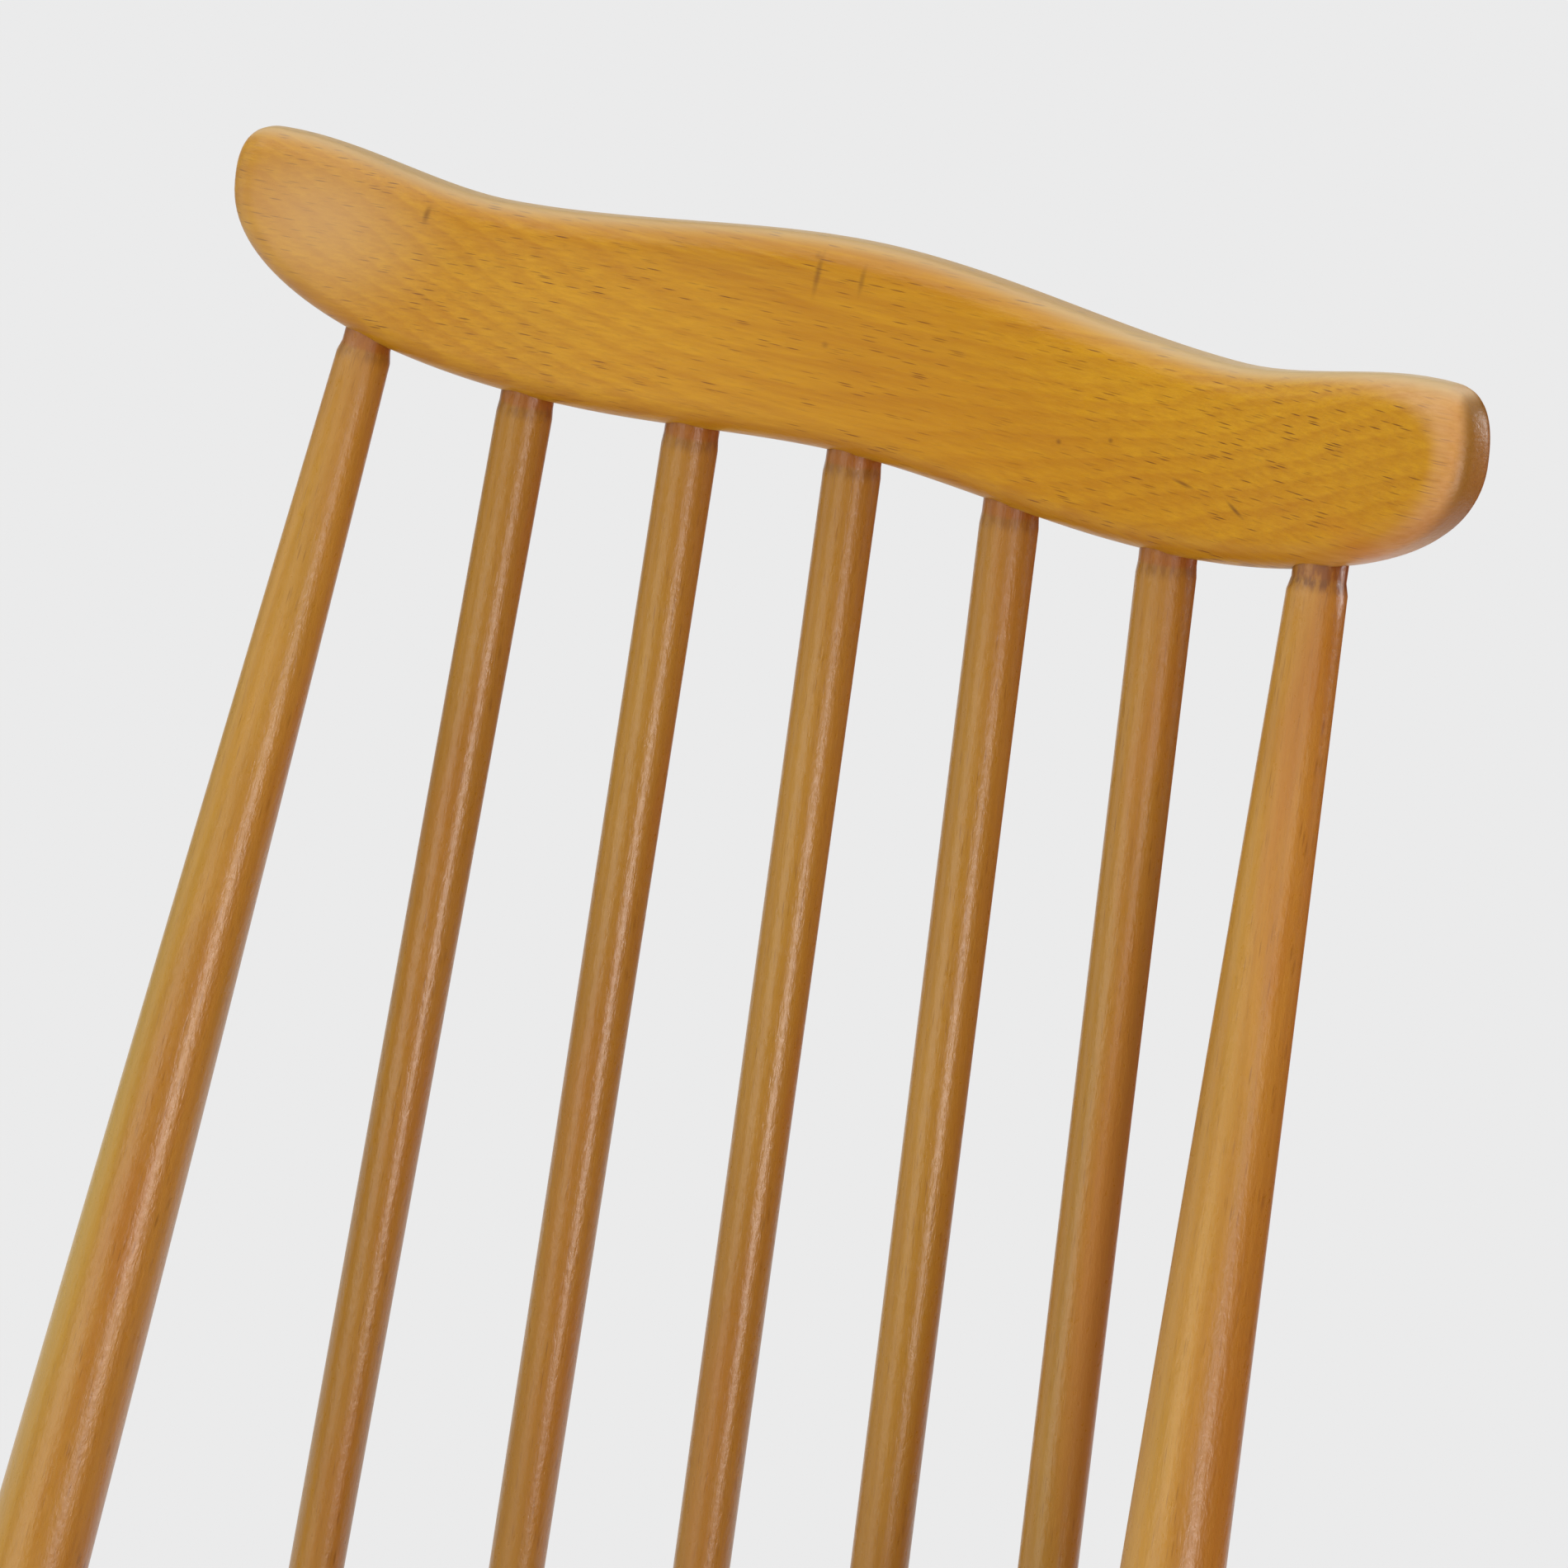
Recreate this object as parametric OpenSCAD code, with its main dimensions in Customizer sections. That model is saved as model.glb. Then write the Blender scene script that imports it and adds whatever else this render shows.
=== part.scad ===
// Comb-back windsor chair in beech, with a seat of three elm boards.
// Four splayed turned legs are wedged through the seat and tied by an H of stretchers.
// Two tapered posts and five thin sticks rise from the seat into a curved comb.
// The chair faces -Y and stands on Z = 0. Left and right are a viewer's, from in front.

/* [Seat] */
// Height of the seat's rim above the floor
seat_h = 440; // [420:5:460]
// Width of the seat at its widest line
seat_w = 440; // [425:5:460]
// Depth of the seat, front edge to back edge
seat_d = 395; // [380:5:420]
// From the back edge forward to the widest line
seat_back_d = 178; // [165:1:195]
// Squareness of the seat's front, 2 is an ellipse
seat_front_square = 4.5; // [3:0.25:6]
// Squareness of the seat's back, 2 is an ellipse
seat_back_square = 2.25; // [2:0.05:2.6]
// Thickness of the boards
seat_t = 36; // [32:1:40]
// Rounding of the upper edge
seat_round = 9; // [5:0.5:12]
// Width of the chamfer below the edge
seat_chamfer_w = 13; // [6:0.5:15]
// Height of the chamfer below the edge
seat_chamfer_h = 12; // [6:0.5:16]
// Width of the middle board
middle_board_w = 164; // [150:2:170]

/* [Dish in the seat] */
// Depth of the dish
dish_depth = 12; // [6:1:15]
// Flat rim left at each side
dish_side_rim = 44; // [40:1:55]
// Flat rim left at the back
dish_back_rim = 37; // [35:1:48]
// Flat rim left at the front
dish_front_rim = 17; // [12:1:30]
// Squareness of the dish, 2 is an ellipse
dish_square = 2.5; // [2:0.1:3.5]

/* [Legs] */
// Between the front legs' centres at the seat
front_legs_apart = 280; // [260:5:300]
// Between the back legs' centres at the seat
back_legs_apart = 210; // [200:5:225]
// From the seat's front edge to the front legs
front_leg_inset = 70; // [60:2:80]
// From the seat's back edge to the back legs
back_leg_inset = 92; // [86:2:104]
// Outward lean of the front legs
front_splay = 8; // [5:0.5:9]
// Forward lean of the front legs
front_rake = 7; // [4:0.5:8]
// Outward lean of the back legs
back_splay = 9; // [5:0.5:11]
// Backward lean of the back legs
back_leg_rake = 16; // [10:0.5:18]
// Diameter at the foot
leg_foot_d = 25; // [20:0.5:30]
// Diameter at the thickest place
leg_swell_d = 36; // [32:0.5:42]
// Height of the thickest place
leg_swell_h = 190; // [170:5:230]
// Diameter of the tenon through the seat
leg_tenon_d = 25; // [20:0.5:27]

/* [Stretchers] */
// Height of the stretchers
stretcher_h = 165; // [140:5:190]
// Diameter of a side stretcher at the middle
side_swell_d = 24; // [21:0.5:28]
// Diameter of a side stretcher's ends
side_end_d = 15; // [12:0.5:17]
// Depth of its sockets in the legs
side_socket = 20; // [14:1:24]
// Diameter of the cross stretcher at the middle
cross_swell_d = 22; // [18:0.5:26]
// Diameter of the cross stretcher's ends
cross_end_d = 13; // [10:0.5:15]
// Depth of its sockets in the side stretchers
cross_socket = 14; // [10:1:17]

/* [Comb] */
// Height of the comb's lower edge, at its middle
comb_h = 907; // [870:1:945]
// Backward lean of the back
back_rake = 14; // [10:0.5:18]
// Width of the comb across its tips
comb_w = 362; // [350:1:375]
// Thickness at the lower edge
comb_t = 22; // [21:0.5:26]
// Thickness at the crown, thinned from behind
comb_top_t = 16; // [15:0.5:20]
// Radius of its curve round the sitter's shoulders
comb_radius = 535; // [450:5:700]
// Rise of the crown over the lower edge's line
crown_rise = 56.3; // [50:0.1:65]
// Rise of the dips beside the crown
dip_rise = 48; // [42:0.1:49.5]
// From the middle out to a dip
dip_x = 107; // [90:1:115]
// Rise of the ears
ear_rise = 57.3; // [50:0.1:65]
// From a tip in to the ear's peak
ear_inset = 11; // [10:0.5:16]
// From the ear's peak down to the tip
tip_drop = 16; // [13:0.5:24]
// Rise of the small arch in the lower edge
arch_rise = 1.9; // [0:0.1:6]
// Drop of the lower edge's lowest places
belly_drop = 2.1; // [0:0.1:6]
// From the middle out to a lowest place
belly_x = 79; // [60:1:90]
// Squareness of the ears, 2 is an ellipse
ear_square = 2.5; // [2:0.05:3]
// Squareness of the lower ends, 2 is an ellipse
heel_square = 2.15; // [2:0.05:2.6]
// Rounding of the front edge
comb_front_round = 8; // [5:0.5:9]
// Rounding of the rear edge
comb_rear_round = 7; // [4:0.5:9]

/* [Back sticks] */
// Between sticks at the comb
stick_gap_top = 48; // [44:0.5:50]
// Between sticks at the seat
stick_gap_foot = 61; // [56:0.5:66]
// From the seat's edge in to the sticks' feet
stick_inset = 24; // [20:0.5:28]
// Diameter below the comb
stick_top_d = 15; // [14.8:0.1:17]
// Diameter at the seat
stick_foot_d = 15.7; // [14:0.1:18]
// Diameter of the tenon in the comb
stick_tenon_d = 14.4; // [11:0.1:14.8]
// Depth of the sockets in the comb
stick_comb_socket = 20; // [14:1:22]
// Depth of the sockets in the seat
stick_seat_socket = 24; // [16:1:28]

/* [Back posts] */
// From the middle to a post at the comb
post_top_x = 141.5; // [136:0.5:146]
// From the comb's middle forward to the posts' tops
post_forward = 1; // [0:0.5:2]
// From the seat's side edge in to a post
post_inset = 28.5; // [25:0.5:34]
// From the seat's back edge forward to the posts
post_setback = 125; // [118:1:140]
// Diameter below the comb
post_top_d = 14.4; // [14:0.1:18]
// Diameter at the thickest place
post_swell_d = 30.4; // [26:0.2:36]
// From the comb down to the thickest place
post_swell_run = 385; // [340:5:420]
// Diameter of the tenon in the comb
post_tenon_d = 13.2; // [11:0.1:14]
// Depth of the sockets in the comb
post_comb_socket = 14; // [10:1:15]
// Diameter of the tenon through the seat
post_foot_d = 21; // [18:0.5:22]

/* [Joints] */
// Length of the bevel below a comb tenon
nose_run = 3; // [1.5:0.5:6]
// From a socket's mouth down to the bevel
nose_lead = 2.8; // [2.5:0.1:4]
// Straight end of a leg or post left showing outside the seat
tenon_show = 5.6; // [5:0.2:10]
// Glue film round a tenon
glue_gap = 0.05; // [0.02:0.01:0.1]
// Air left beyond the end of a blind tenon
socket_air = 1; // [0.5:0.1:2]
// Thickness of a wedge at the end of its tenon
wedge_t = 3; // [2:0.1:4]
// Thickness of a wedge's thin end
wedge_tip_t = 0.8; // [0.4:0.1:1.2]
// Depth of a wedge in its tenon
wedge_run = 24; // [16:1:28]

/* [Hidden] */

// Finishes
elm = [0.66, 0.43, 0.20];
beech = [0.72, 0.50, 0.24];
comb_beech = [0.75, 0.54, 0.24];
wedge_beech = [0.52, 0.32, 0.13];

// How full the turned tapers are, 1 is straight
leg_fullness = 1.8;
post_fullness = 1.15;
// Rings of the dished face, as shares of the way out to the seat's edge
dish_shares = [0.15, 0.3, 0.44, 0.57, 0.68, 0.78, 0.87];

// How finely the freely curved faces are stepped
seat_steps = 72;
dip_steps = 7;
rise_steps = 6;
ear_steps = 9;
round_steps = 5;
turning_steps = 24;
$fn = 64;

// Sides and ends of the chair
LEFT = -1;
RIGHT = 1;
FRONT = -1;
BACK = 1;
// Length by which a cutting shape runs past what it cuts
past = 20;

// Curves used by several pieces

// S-curve from 0 to 1, level at both ends
function ease(t) = t * t * (3 - 2 * t);
function mix(a, b, t) = a + (b - a) * t;
// Distance to [x, y] in units of the superellipse with half axes a and b
function reach(x, y, a, b, square) = pow(pow(abs(x) / a, square) + pow(abs(y) / b, square), 1 / square);
// Half width of that superellipse at distance y from its widest line
function half_width(y, a, b, square) = a * pow(1 - pow(abs(y) / b, square), 1 / square);
function unit(v) = v / norm(v);

// Lie of the seat and the back: the two stand centred fore and aft over the origin
back_lean = (comb_h - seat_h) * tan(back_rake);
// Rounding of the comb's edges, front face first, as [inset from the outline, depth behind the front]
comb_rim = concat(
    [for (k = [round_steps:-1:0]) let (a = 90 * k / round_steps)
        [comb_front_round * (1 - cos(a)), comb_front_round * (1 - sin(a))]],
    [for (k = [0:round_steps]) let (a = 90 * k / round_steps)
        [comb_rear_round * (1 - cos(a)), comb_t - comb_rear_round * (1 - sin(a))]]);
// The comb thins upwards, and only its rear face leans: depths behind the front shrink alike
function comb_thick(up) = mix(comb_t, comb_top_t, max(0, up) / crown_rise);
function comb_forward(up, depth) = comb_t / 2 - depth * comb_thick(up) / comb_t;
comb_rear_reach = max([for (rim = comb_rim) let (up = crown_rise - rim[0])
    up * sin(back_rake) - comb_forward(up, rim[1]) * cos(back_rake)]);
overall_d = seat_d - stick_inset + back_lean + comb_rear_reach;
seat_front_y = -overall_d / 2;
seat_back_y = seat_front_y + seat_d;
seat_wide_y = seat_back_y - seat_back_d;
seat_front_d = seat_d - seat_back_d;
seat_under_z = seat_h - seat_t;
comb_y = seat_back_y - stick_inset + back_lean;

// Outline of the seat
function seat_half_w(y) = y > seat_wide_y
    ? half_width(y - seat_wide_y, seat_w / 2, seat_back_d, seat_back_square)
    : half_width(y - seat_wide_y, seat_w / 2, seat_front_d, seat_front_square);
function seat_edge_y(x) = seat_wide_y + half_width(x, seat_back_d, seat_w / 2, seat_back_square);
function seat_radius(a) = 1 / (sin(a) > 0
    ? reach(cos(a), sin(a), seat_w / 2, seat_back_d, seat_back_square)
    : reach(cos(a), sin(a), seat_w / 2, seat_front_d, seat_front_square));

// Height of the seat's upper face, dished inside its rim
function dish_reach(x, y) = reach(x, y, seat_w / 2 - dish_side_rim,
    y > 0 ? seat_back_d - dish_back_rim : seat_front_d - dish_front_rim, dish_square);
function seat_top_z(x, y) = seat_h
    - dish_depth * pow(1 - pow(min(1, dish_reach(x, y - seat_wide_y)), 2), 2);
// Upright of the seat's upper face, from its fall over one millimetre each way
function seat_upright(x, y) = unit([
    (seat_top_z(x - 0.5, y) - seat_top_z(x + 0.5, y)),
    (seat_top_z(x, y - 0.5) - seat_top_z(x, y + 0.5)), 1]);

// Places in the comb's leaning frame: across, up along the back, forward
function on_back(p) = [p.x,
    comb_y + p.y * sin(back_rake) - p.z * cos(back_rake),
    comb_h + p.y * cos(back_rake) + p.z * sin(back_rake)];
// The same, with the flat outline bent round the comb's curve
function on_comb(across, up, forward) = let (turn = asin(across / comb_radius))
    on_back([(comb_radius - forward) * sin(turn), up, comb_radius - (comb_radius - forward) * cos(turn)]);

// Edges of the comb's right half
ear_x = comb_w / 2 - ear_inset;
tip_rise = ear_rise - tip_drop;
heel_run = comb_w / 2 - belly_x;
function comb_top(x) = x < dip_x
    ? mix(crown_rise, dip_rise, ease(x / dip_x))
    : mix(dip_rise, ear_rise, ease((x - dip_x) / (ear_x - dip_x)));
function comb_under(x) = x < belly_x
    ? mix(arch_rise, -belly_drop, ease(x / belly_x))
    : tip_rise - half_width(x - belly_x, tip_rise + belly_drop, heel_run, heel_square);

// Ends of the turned pieces' centre lines
function leg_top(side, end) = [
    side * (end == FRONT ? front_legs_apart : back_legs_apart) / 2,
    end == FRONT ? seat_front_y + front_leg_inset : seat_back_y - back_leg_inset, seat_h];
function leg_foot(side, end) = leg_top(side, end) + seat_h * [
    side * tan(end == FRONT ? front_splay : back_splay),
    end * tan(end == FRONT ? front_rake : back_leg_rake), -1];
function leg_at(side, end, z) = mix(leg_foot(side, end), leg_top(side, end), z / seat_h);
function side_middle(side) =
    mix(leg_at(side, FRONT, stretcher_h), leg_at(side, BACK, stretcher_h), 0.5);
function stick_top(i) = let (x = abs(i) * stick_gap_top) on_comb(i * stick_gap_top, comb_under(x), 0);
function stick_foot(i) = let (x = i * stick_gap_foot) [x, seat_edge_y(abs(x)) - stick_inset, seat_h];
function post_top(side) = on_comb(side * post_top_x, comb_under(post_top_x), post_forward);
function post_foot(side) = let (y = seat_back_y - post_setback)
    [side * (seat_half_w(y) - post_inset), y, seat_h];

// Radius of a leg at distance s up its centre line, and of a post at distance s down from the comb
function leg_radius(s, tall) = let (
        thick = leg_swell_h / seat_h * tall,
        off = s < thick ? (thick - s) / thick : (s - thick) / (tall - thick))
    leg_swell_d / 2 - (leg_swell_d - (s < thick ? leg_foot_d : leg_tenon_d)) / 2 * pow(off, leg_fullness);
function post_radius(s, tall) = s < post_swell_run
    ? mix(post_swell_d, post_top_d, pow(1 - s / post_swell_run, post_fullness)) / 2
    : mix(post_swell_d, post_foot_d,
        pow((s - post_swell_run) / (tall - post_swell_run), leg_fullness)) / 2;
function stretcher_radius(t, end_d, swell_d) = mix(end_d, swell_d, sin(180 * t)) / 2;

// Stands its children on a, upright along the line to b, their X kept across the chair
module along(a, b) {
    d = unit(b - a);
    translate(a) rotate([-asin(d.y), atan2(d.x, d.z), 0]) children();
}

// Solid of revolution from a list of [radius, height]
module turned(profile) {
    rotate_extrude()
        polygon(concat([[0, profile[0].y]], profile, [[0, profile[len(profile) - 1].y]]));
}

// Block that trims a tenon level with the seat, above the point where it comes through
module above_seat(p) {
    z = seat_top_z(p.x, p.y);
    upright = seat_upright(p.x, p.y);
    along([p.x, p.y, z], [p.x, p.y, z] + upright)
        translate([-2 * leg_swell_d, -2 * leg_swell_d, 0])
            cube([4 * leg_swell_d, 4 * leg_swell_d, 2 * past]);
}

module below(z) {
    translate([-comb_w, -overall_d, z - 3 * past]) cube([2 * comb_w, 2 * overall_d, 3 * past]);
}

// Wedge shape driven down from the end of a tenon, its length across the chair
module wedge_prism(tenon_d) {
    spread = (wedge_t - wedge_tip_t) / wedge_run * past;
    rotate([90, 0, 90]) linear_extrude(tenon_d + past, center = true) polygon([
        [-(wedge_t + spread) / 2, past], [(wedge_t + spread) / 2, past],
        [wedge_tip_t / 2, -wedge_run], [-wedge_tip_t / 2, -wedge_run]]);
}

// Seat

// Rings of the seat from the middle of the dish, over the edge and under to the chamfer's foot
seat_rings = concat(
    [for (share = dish_shares) [for (i = [0:seat_steps - 1])
        let (a = 360 * i / seat_steps, r = share * seat_radius(a), x = r * cos(a),
            y = seat_wide_y + r * sin(a))
        [x, y, seat_top_z(x, y)]]],
    [for (k = [0:round_steps]) let (turn = 90 * k / round_steps)
        seat_ring(seat_round * (1 - sin(turn)), seat_h - seat_round * (1 - cos(turn)))],
    [seat_ring(0, seat_under_z + seat_chamfer_h), seat_ring(seat_chamfer_w, seat_under_z)]);

function seat_ring(inset, z) = [for (i = [0:seat_steps - 1])
    let (a = 360 * i / seat_steps, r = seat_radius(a) - inset) [r * cos(a), seat_wide_y + r * sin(a), z]];

module seat_blank() {
    n = seat_steps;
    rings = len(seat_rings);
    middle = [0, seat_wide_y, seat_h - dish_depth];
    points = concat([middle], [for (ring = seat_rings, p = ring) p], [[0, seat_wide_y, seat_under_z]]);
    last = len(points) - 1;
    faces = concat(
        [for (i = [0:n - 1]) [0, 1 + (i + 1) % n, 1 + i]],
        [for (k = [0:rings - 2], i = [0:n - 1]) let (a = 1 + k * n + i, b = 1 + k * n + (i + 1) % n)
            each [[a, b, b + n], [a, b + n, a + n]]],
        [for (i = [0:n - 1]) let (a = 1 + (rings - 1) * n) [last, a + i, a + (i + 1) % n]]);
    polyhedron(points, faces);
}

// Every hole bored in the seat
module seat_holes() {
    for (side = [LEFT, RIGHT]) {
        for (end = [FRONT, BACK])
            along(leg_top(side, end), leg_foot(side, end))
                translate([0, 0, -past]) cylinder(h = seat_t + 2 * past, d = leg_tenon_d + 2 * glue_gap);
        along(post_foot(side), post_top(side))
            translate([0, 0, -seat_t - past])
                cylinder(h = seat_t + 2 * past, d = post_foot_d + 2 * glue_gap);
    }
    for (i = [-2:2])
        along(stick_foot(i), stick_top(i)) translate([0, 0, -stick_seat_socket - socket_air])
            cylinder(h = stick_seat_socket + past, d = stick_foot_d + 2 * glue_gap);
}

module seat_board(from_x, to_x) {
    color(elm) difference() {
        intersection() {
            seat_blank();
            translate([from_x, -overall_d, 0]) cube([to_x - from_x, 2 * overall_d, 2 * seat_h]);
        }
        seat_holes();
    }
}

// Legs and stretchers

module leg(side, end) {
    foot = leg_foot(side, end);
    top = leg_top(side, end);
    tall = norm(top - foot);
    // The leg has come down to its tenon a little below the seat
    tenon_from = tall * (seat_under_z - tenon_show) / seat_h;
    color(beech) difference() {
        along(foot, top) turned(concat(
            [[leg_foot_d / 2, -past]],
            [for (k = [0:turning_steps]) let (s = tenon_from * k / turning_steps)
                [leg_radius(s, tenon_from), s]],
            [[leg_tenon_d / 2, tall + past]]));
        below(0);
        above_seat(top);
        along(foot, top) translate([0, 0, tall]) wedge_prism(leg_tenon_d);
        side_socket_hole(side, end);
    }
}

// Centre line of a side stretcher, from its end inside the front leg to its end inside the back leg
function side_end(side, end) = let (
        a = leg_at(side, end, stretcher_h), b = leg_at(side, -end, stretcher_h),
        s = norm(a - leg_foot(side, end)), tall = norm(leg_top(side, end) - leg_foot(side, end)))
    a + unit(b - a) * (leg_radius(s, tall) - side_socket);
function cross_end(side) = side_middle(side) - side * [side_swell_d / 2 - cross_socket, 0, 0];

module side_socket_hole(side, end) {
    a = side_end(side, end);
    b = side_end(side, -end);
    along(a - unit(b - a) * socket_air, b)
        cylinder(h = side_socket + past, d = side_end_d + 2 * glue_gap);
}

// Turned bar between two socket ends, straight in its sockets and swelling between them
module stretcher(a, b, end_d, swell_d, socket) {
    long = norm(b - a);
    straight = socket + nose_run;
    along(a, b) turned(concat(
        [[end_d / 2, 0]],
        [for (k = [0:turning_steps]) let (t = k / turning_steps)
            [stretcher_radius(t, end_d, swell_d), mix(straight, long - straight, t)]],
        [[end_d / 2, long]]));
}

module side_stretcher(side) {
    color(beech) difference() {
        stretcher(side_end(side, FRONT), side_end(side, BACK), side_end_d, side_swell_d, side_socket);
        along(cross_end(side) + [side * socket_air, 0, 0], cross_end(-side))
            cylinder(h = cross_socket + past, d = cross_end_d + 2 * glue_gap);
    }
}

module cross_stretcher() {
    color(beech) stretcher(cross_end(LEFT), cross_end(RIGHT), cross_end_d, cross_swell_d, cross_socket);
}

module leg_wedge(side, end) {
    foot = leg_foot(side, end);
    top = leg_top(side, end);
    color(wedge_beech) difference() {
        along(foot, top) translate([0, 0, norm(top - foot)]) intersection() {
            wedge_prism(leg_tenon_d);
            translate([0, 0, -wedge_run - past]) cylinder(h = wedge_run + 3 * past, d = leg_tenon_d);
        }
        above_seat(top);
    }
}

// Back

module back_stick(i) {
    foot = stick_foot(i);
    top = stick_top(i);
    long = norm(top - foot);
    color(beech) along(foot, top) turned([
        [stick_foot_d / 2, -stick_seat_socket], [stick_foot_d / 2, 0],
        [stick_top_d / 2, long - nose_lead - nose_run], [stick_tenon_d / 2, long - nose_lead],
        [stick_tenon_d / 2, long + stick_comb_socket]]);
}

module back_post(side) {
    foot = post_foot(side);
    top = post_top(side);
    long = norm(top - foot);
    // The post has come down to its foot tenon a little above the seat
    taper_long = long - tenon_show;
    body_to = long - nose_lead - nose_run;
    color(beech) difference() {
        along(foot, top) turned(concat(
            [[post_foot_d / 2, -seat_t - past]],
            [for (k = [0:turning_steps])
                let (s = mix(taper_long, long - body_to, k / turning_steps))
                [post_radius(s, taper_long), long - s]],
            [[post_tenon_d / 2, long - nose_lead], [post_tenon_d / 2, long + post_comb_socket]]));
        below(seat_under_z);
        post_kerf(side);
    }
}

// Where a wedge opens the post's tenon, from below the seat
module post_kerf(side) {
    foot = post_foot(side);
    top = post_top(side);
    along(foot - unit(top - foot) * seat_t / unit(top - foot).z, top)
        mirror([0, 0, 1]) wedge_prism(post_foot_d);
}

module post_wedge(side) {
    foot = post_foot(side);
    top = post_top(side);
    color(wedge_beech) difference() {
        intersection() {
            post_kerf(side);
            along(foot, top) translate([0, 0, -seat_t - 2 * past])
                cylinder(h = seat_t + 3 * past, d = post_foot_d);
        }
        below(seat_under_z);
    }
}

// Half outline of the comb: its upper edge from crown to tip, and its lower edge from arch to tip
comb_half_top = concat(
    [for (k = [0:dip_steps - 1]) let (x = dip_x * k / dip_steps) [x, comb_top(x)]],
    [for (k = [0:rise_steps - 1]) let (x = mix(dip_x, ear_x, k / rise_steps)) [x, comb_top(x)]],
    [for (k = [0:ear_steps]) let (a = 90 * k / ear_steps) [
        ear_x + ear_inset * pow(sin(a), 2 / ear_square),
        tip_rise + tip_drop * pow(cos(a), 2 / ear_square)]]);
heel_steps = dip_steps + ear_steps;
comb_half_under = concat(
    [for (k = [0:rise_steps - 1]) let (x = belly_x * k / rise_steps) [x, comb_under(x)]],
    [for (k = [0:heel_steps]) let (a = 90 * k / heel_steps) [
        belly_x + heel_run * pow(sin(a), 2 / heel_square),
        tip_rise - (tip_rise + belly_drop) * pow(cos(a), 2 / heel_square)]]);
half = len(comb_half_top) - 1;
function flipped(p) = [-p.x, p.y];
// The whole outline, from the crown round by the right tip
comb_outline = concat(
    comb_half_top,
    [for (k = [half - 1:-1:0]) comb_half_under[k]],
    [for (k = [1:half - 1]) flipped(comb_half_under[k])],
    [for (k = [half:-1:1]) flipped(comb_half_top[k])]);

module comb_blank() {
    n = len(comb_outline);
    rings = len(comb_rim);
    inward = [for (i = [0:n - 1])
        let (d = unit(comb_outline[(i + 1) % n] - comb_outline[(i + n - 1) % n])) [d.y, -d.x]];
    points = [for (rim = comb_rim, i = [0:n - 1]) let (p = comb_outline[i] + rim[0] * inward[i])
        on_comb(p.x, p.y, comb_forward(p.y, rim[1]))];
    // The front face, in strips between the upper and the lower edge
    front_face = [for (k = [-half:half - 1]) let (
            a = (k + n) % n, b = (k + 1 + n) % n,
            c = (2 * half - k - 1 + n) % n, d = (2 * half - k + n) % n)
        each [if (b != c) [a, b, c], if (a != d) [a, c, d]]];
    to_rear = (rings - 1) * n * [1, 1, 1];
    faces = concat(
        front_face,
        [for (f = front_face) [f[2], f[1], f[0]] + to_rear],
        [for (k = [0:rings - 2], i = [0:n - 1]) let (a = k * n + i, b = k * n + (i + 1) % n)
            each [[b, a, a + n], [b, a + n, b + n]]]);
    polyhedron(points, faces);
}

module comb() {
    color(comb_beech) difference() {
        comb_blank();
        for (i = [-2:2])
            along(stick_top(i), 2 * stick_top(i) - stick_foot(i)) translate([0, 0, -past])
                cylinder(h = past + stick_comb_socket + socket_air, d = stick_tenon_d + 2 * glue_gap);
        for (side = [LEFT, RIGHT])
            along(post_top(side), 2 * post_top(side) - post_foot(side)) translate([0, 0, -past])
                cylinder(h = past + post_comb_socket + socket_air, d = post_tenon_d + 2 * glue_gap);
    }
}

seat_board(-seat_w, -middle_board_w / 2);  // seat_board_left
seat_board(-middle_board_w / 2, middle_board_w / 2);  // seat_board_middle
seat_board(middle_board_w / 2, seat_w);  // seat_board_right
leg(LEFT, FRONT);  // leg_front_left
leg(RIGHT, FRONT);  // leg_front_right
leg(LEFT, BACK);  // leg_back_left
leg(RIGHT, BACK);  // leg_back_right
leg_wedge(LEFT, FRONT);  // leg_wedge_front_left
leg_wedge(RIGHT, FRONT);  // leg_wedge_front_right
leg_wedge(LEFT, BACK);  // leg_wedge_back_left
leg_wedge(RIGHT, BACK);  // leg_wedge_back_right
side_stretcher(LEFT);  // side_stretcher_left
side_stretcher(RIGHT);  // side_stretcher_right
cross_stretcher();
back_post(LEFT);  // back_post_left
back_post(RIGHT);  // back_post_right
post_wedge(LEFT);  // post_wedge_left
post_wedge(RIGHT);  // post_wedge_right
back_stick(-2);  // back_stick_outer_left
back_stick(-1);  // back_stick_inner_left
back_stick(0);  // back_stick_middle
back_stick(1);  // back_stick_inner_right
back_stick(2);  // back_stick_outer_right
comb();
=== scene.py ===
from math import asin, atan2, cos, pi, radians, sin, tan, tau

import bmesh
import bpy
from mathutils import Matrix, Vector


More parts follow.
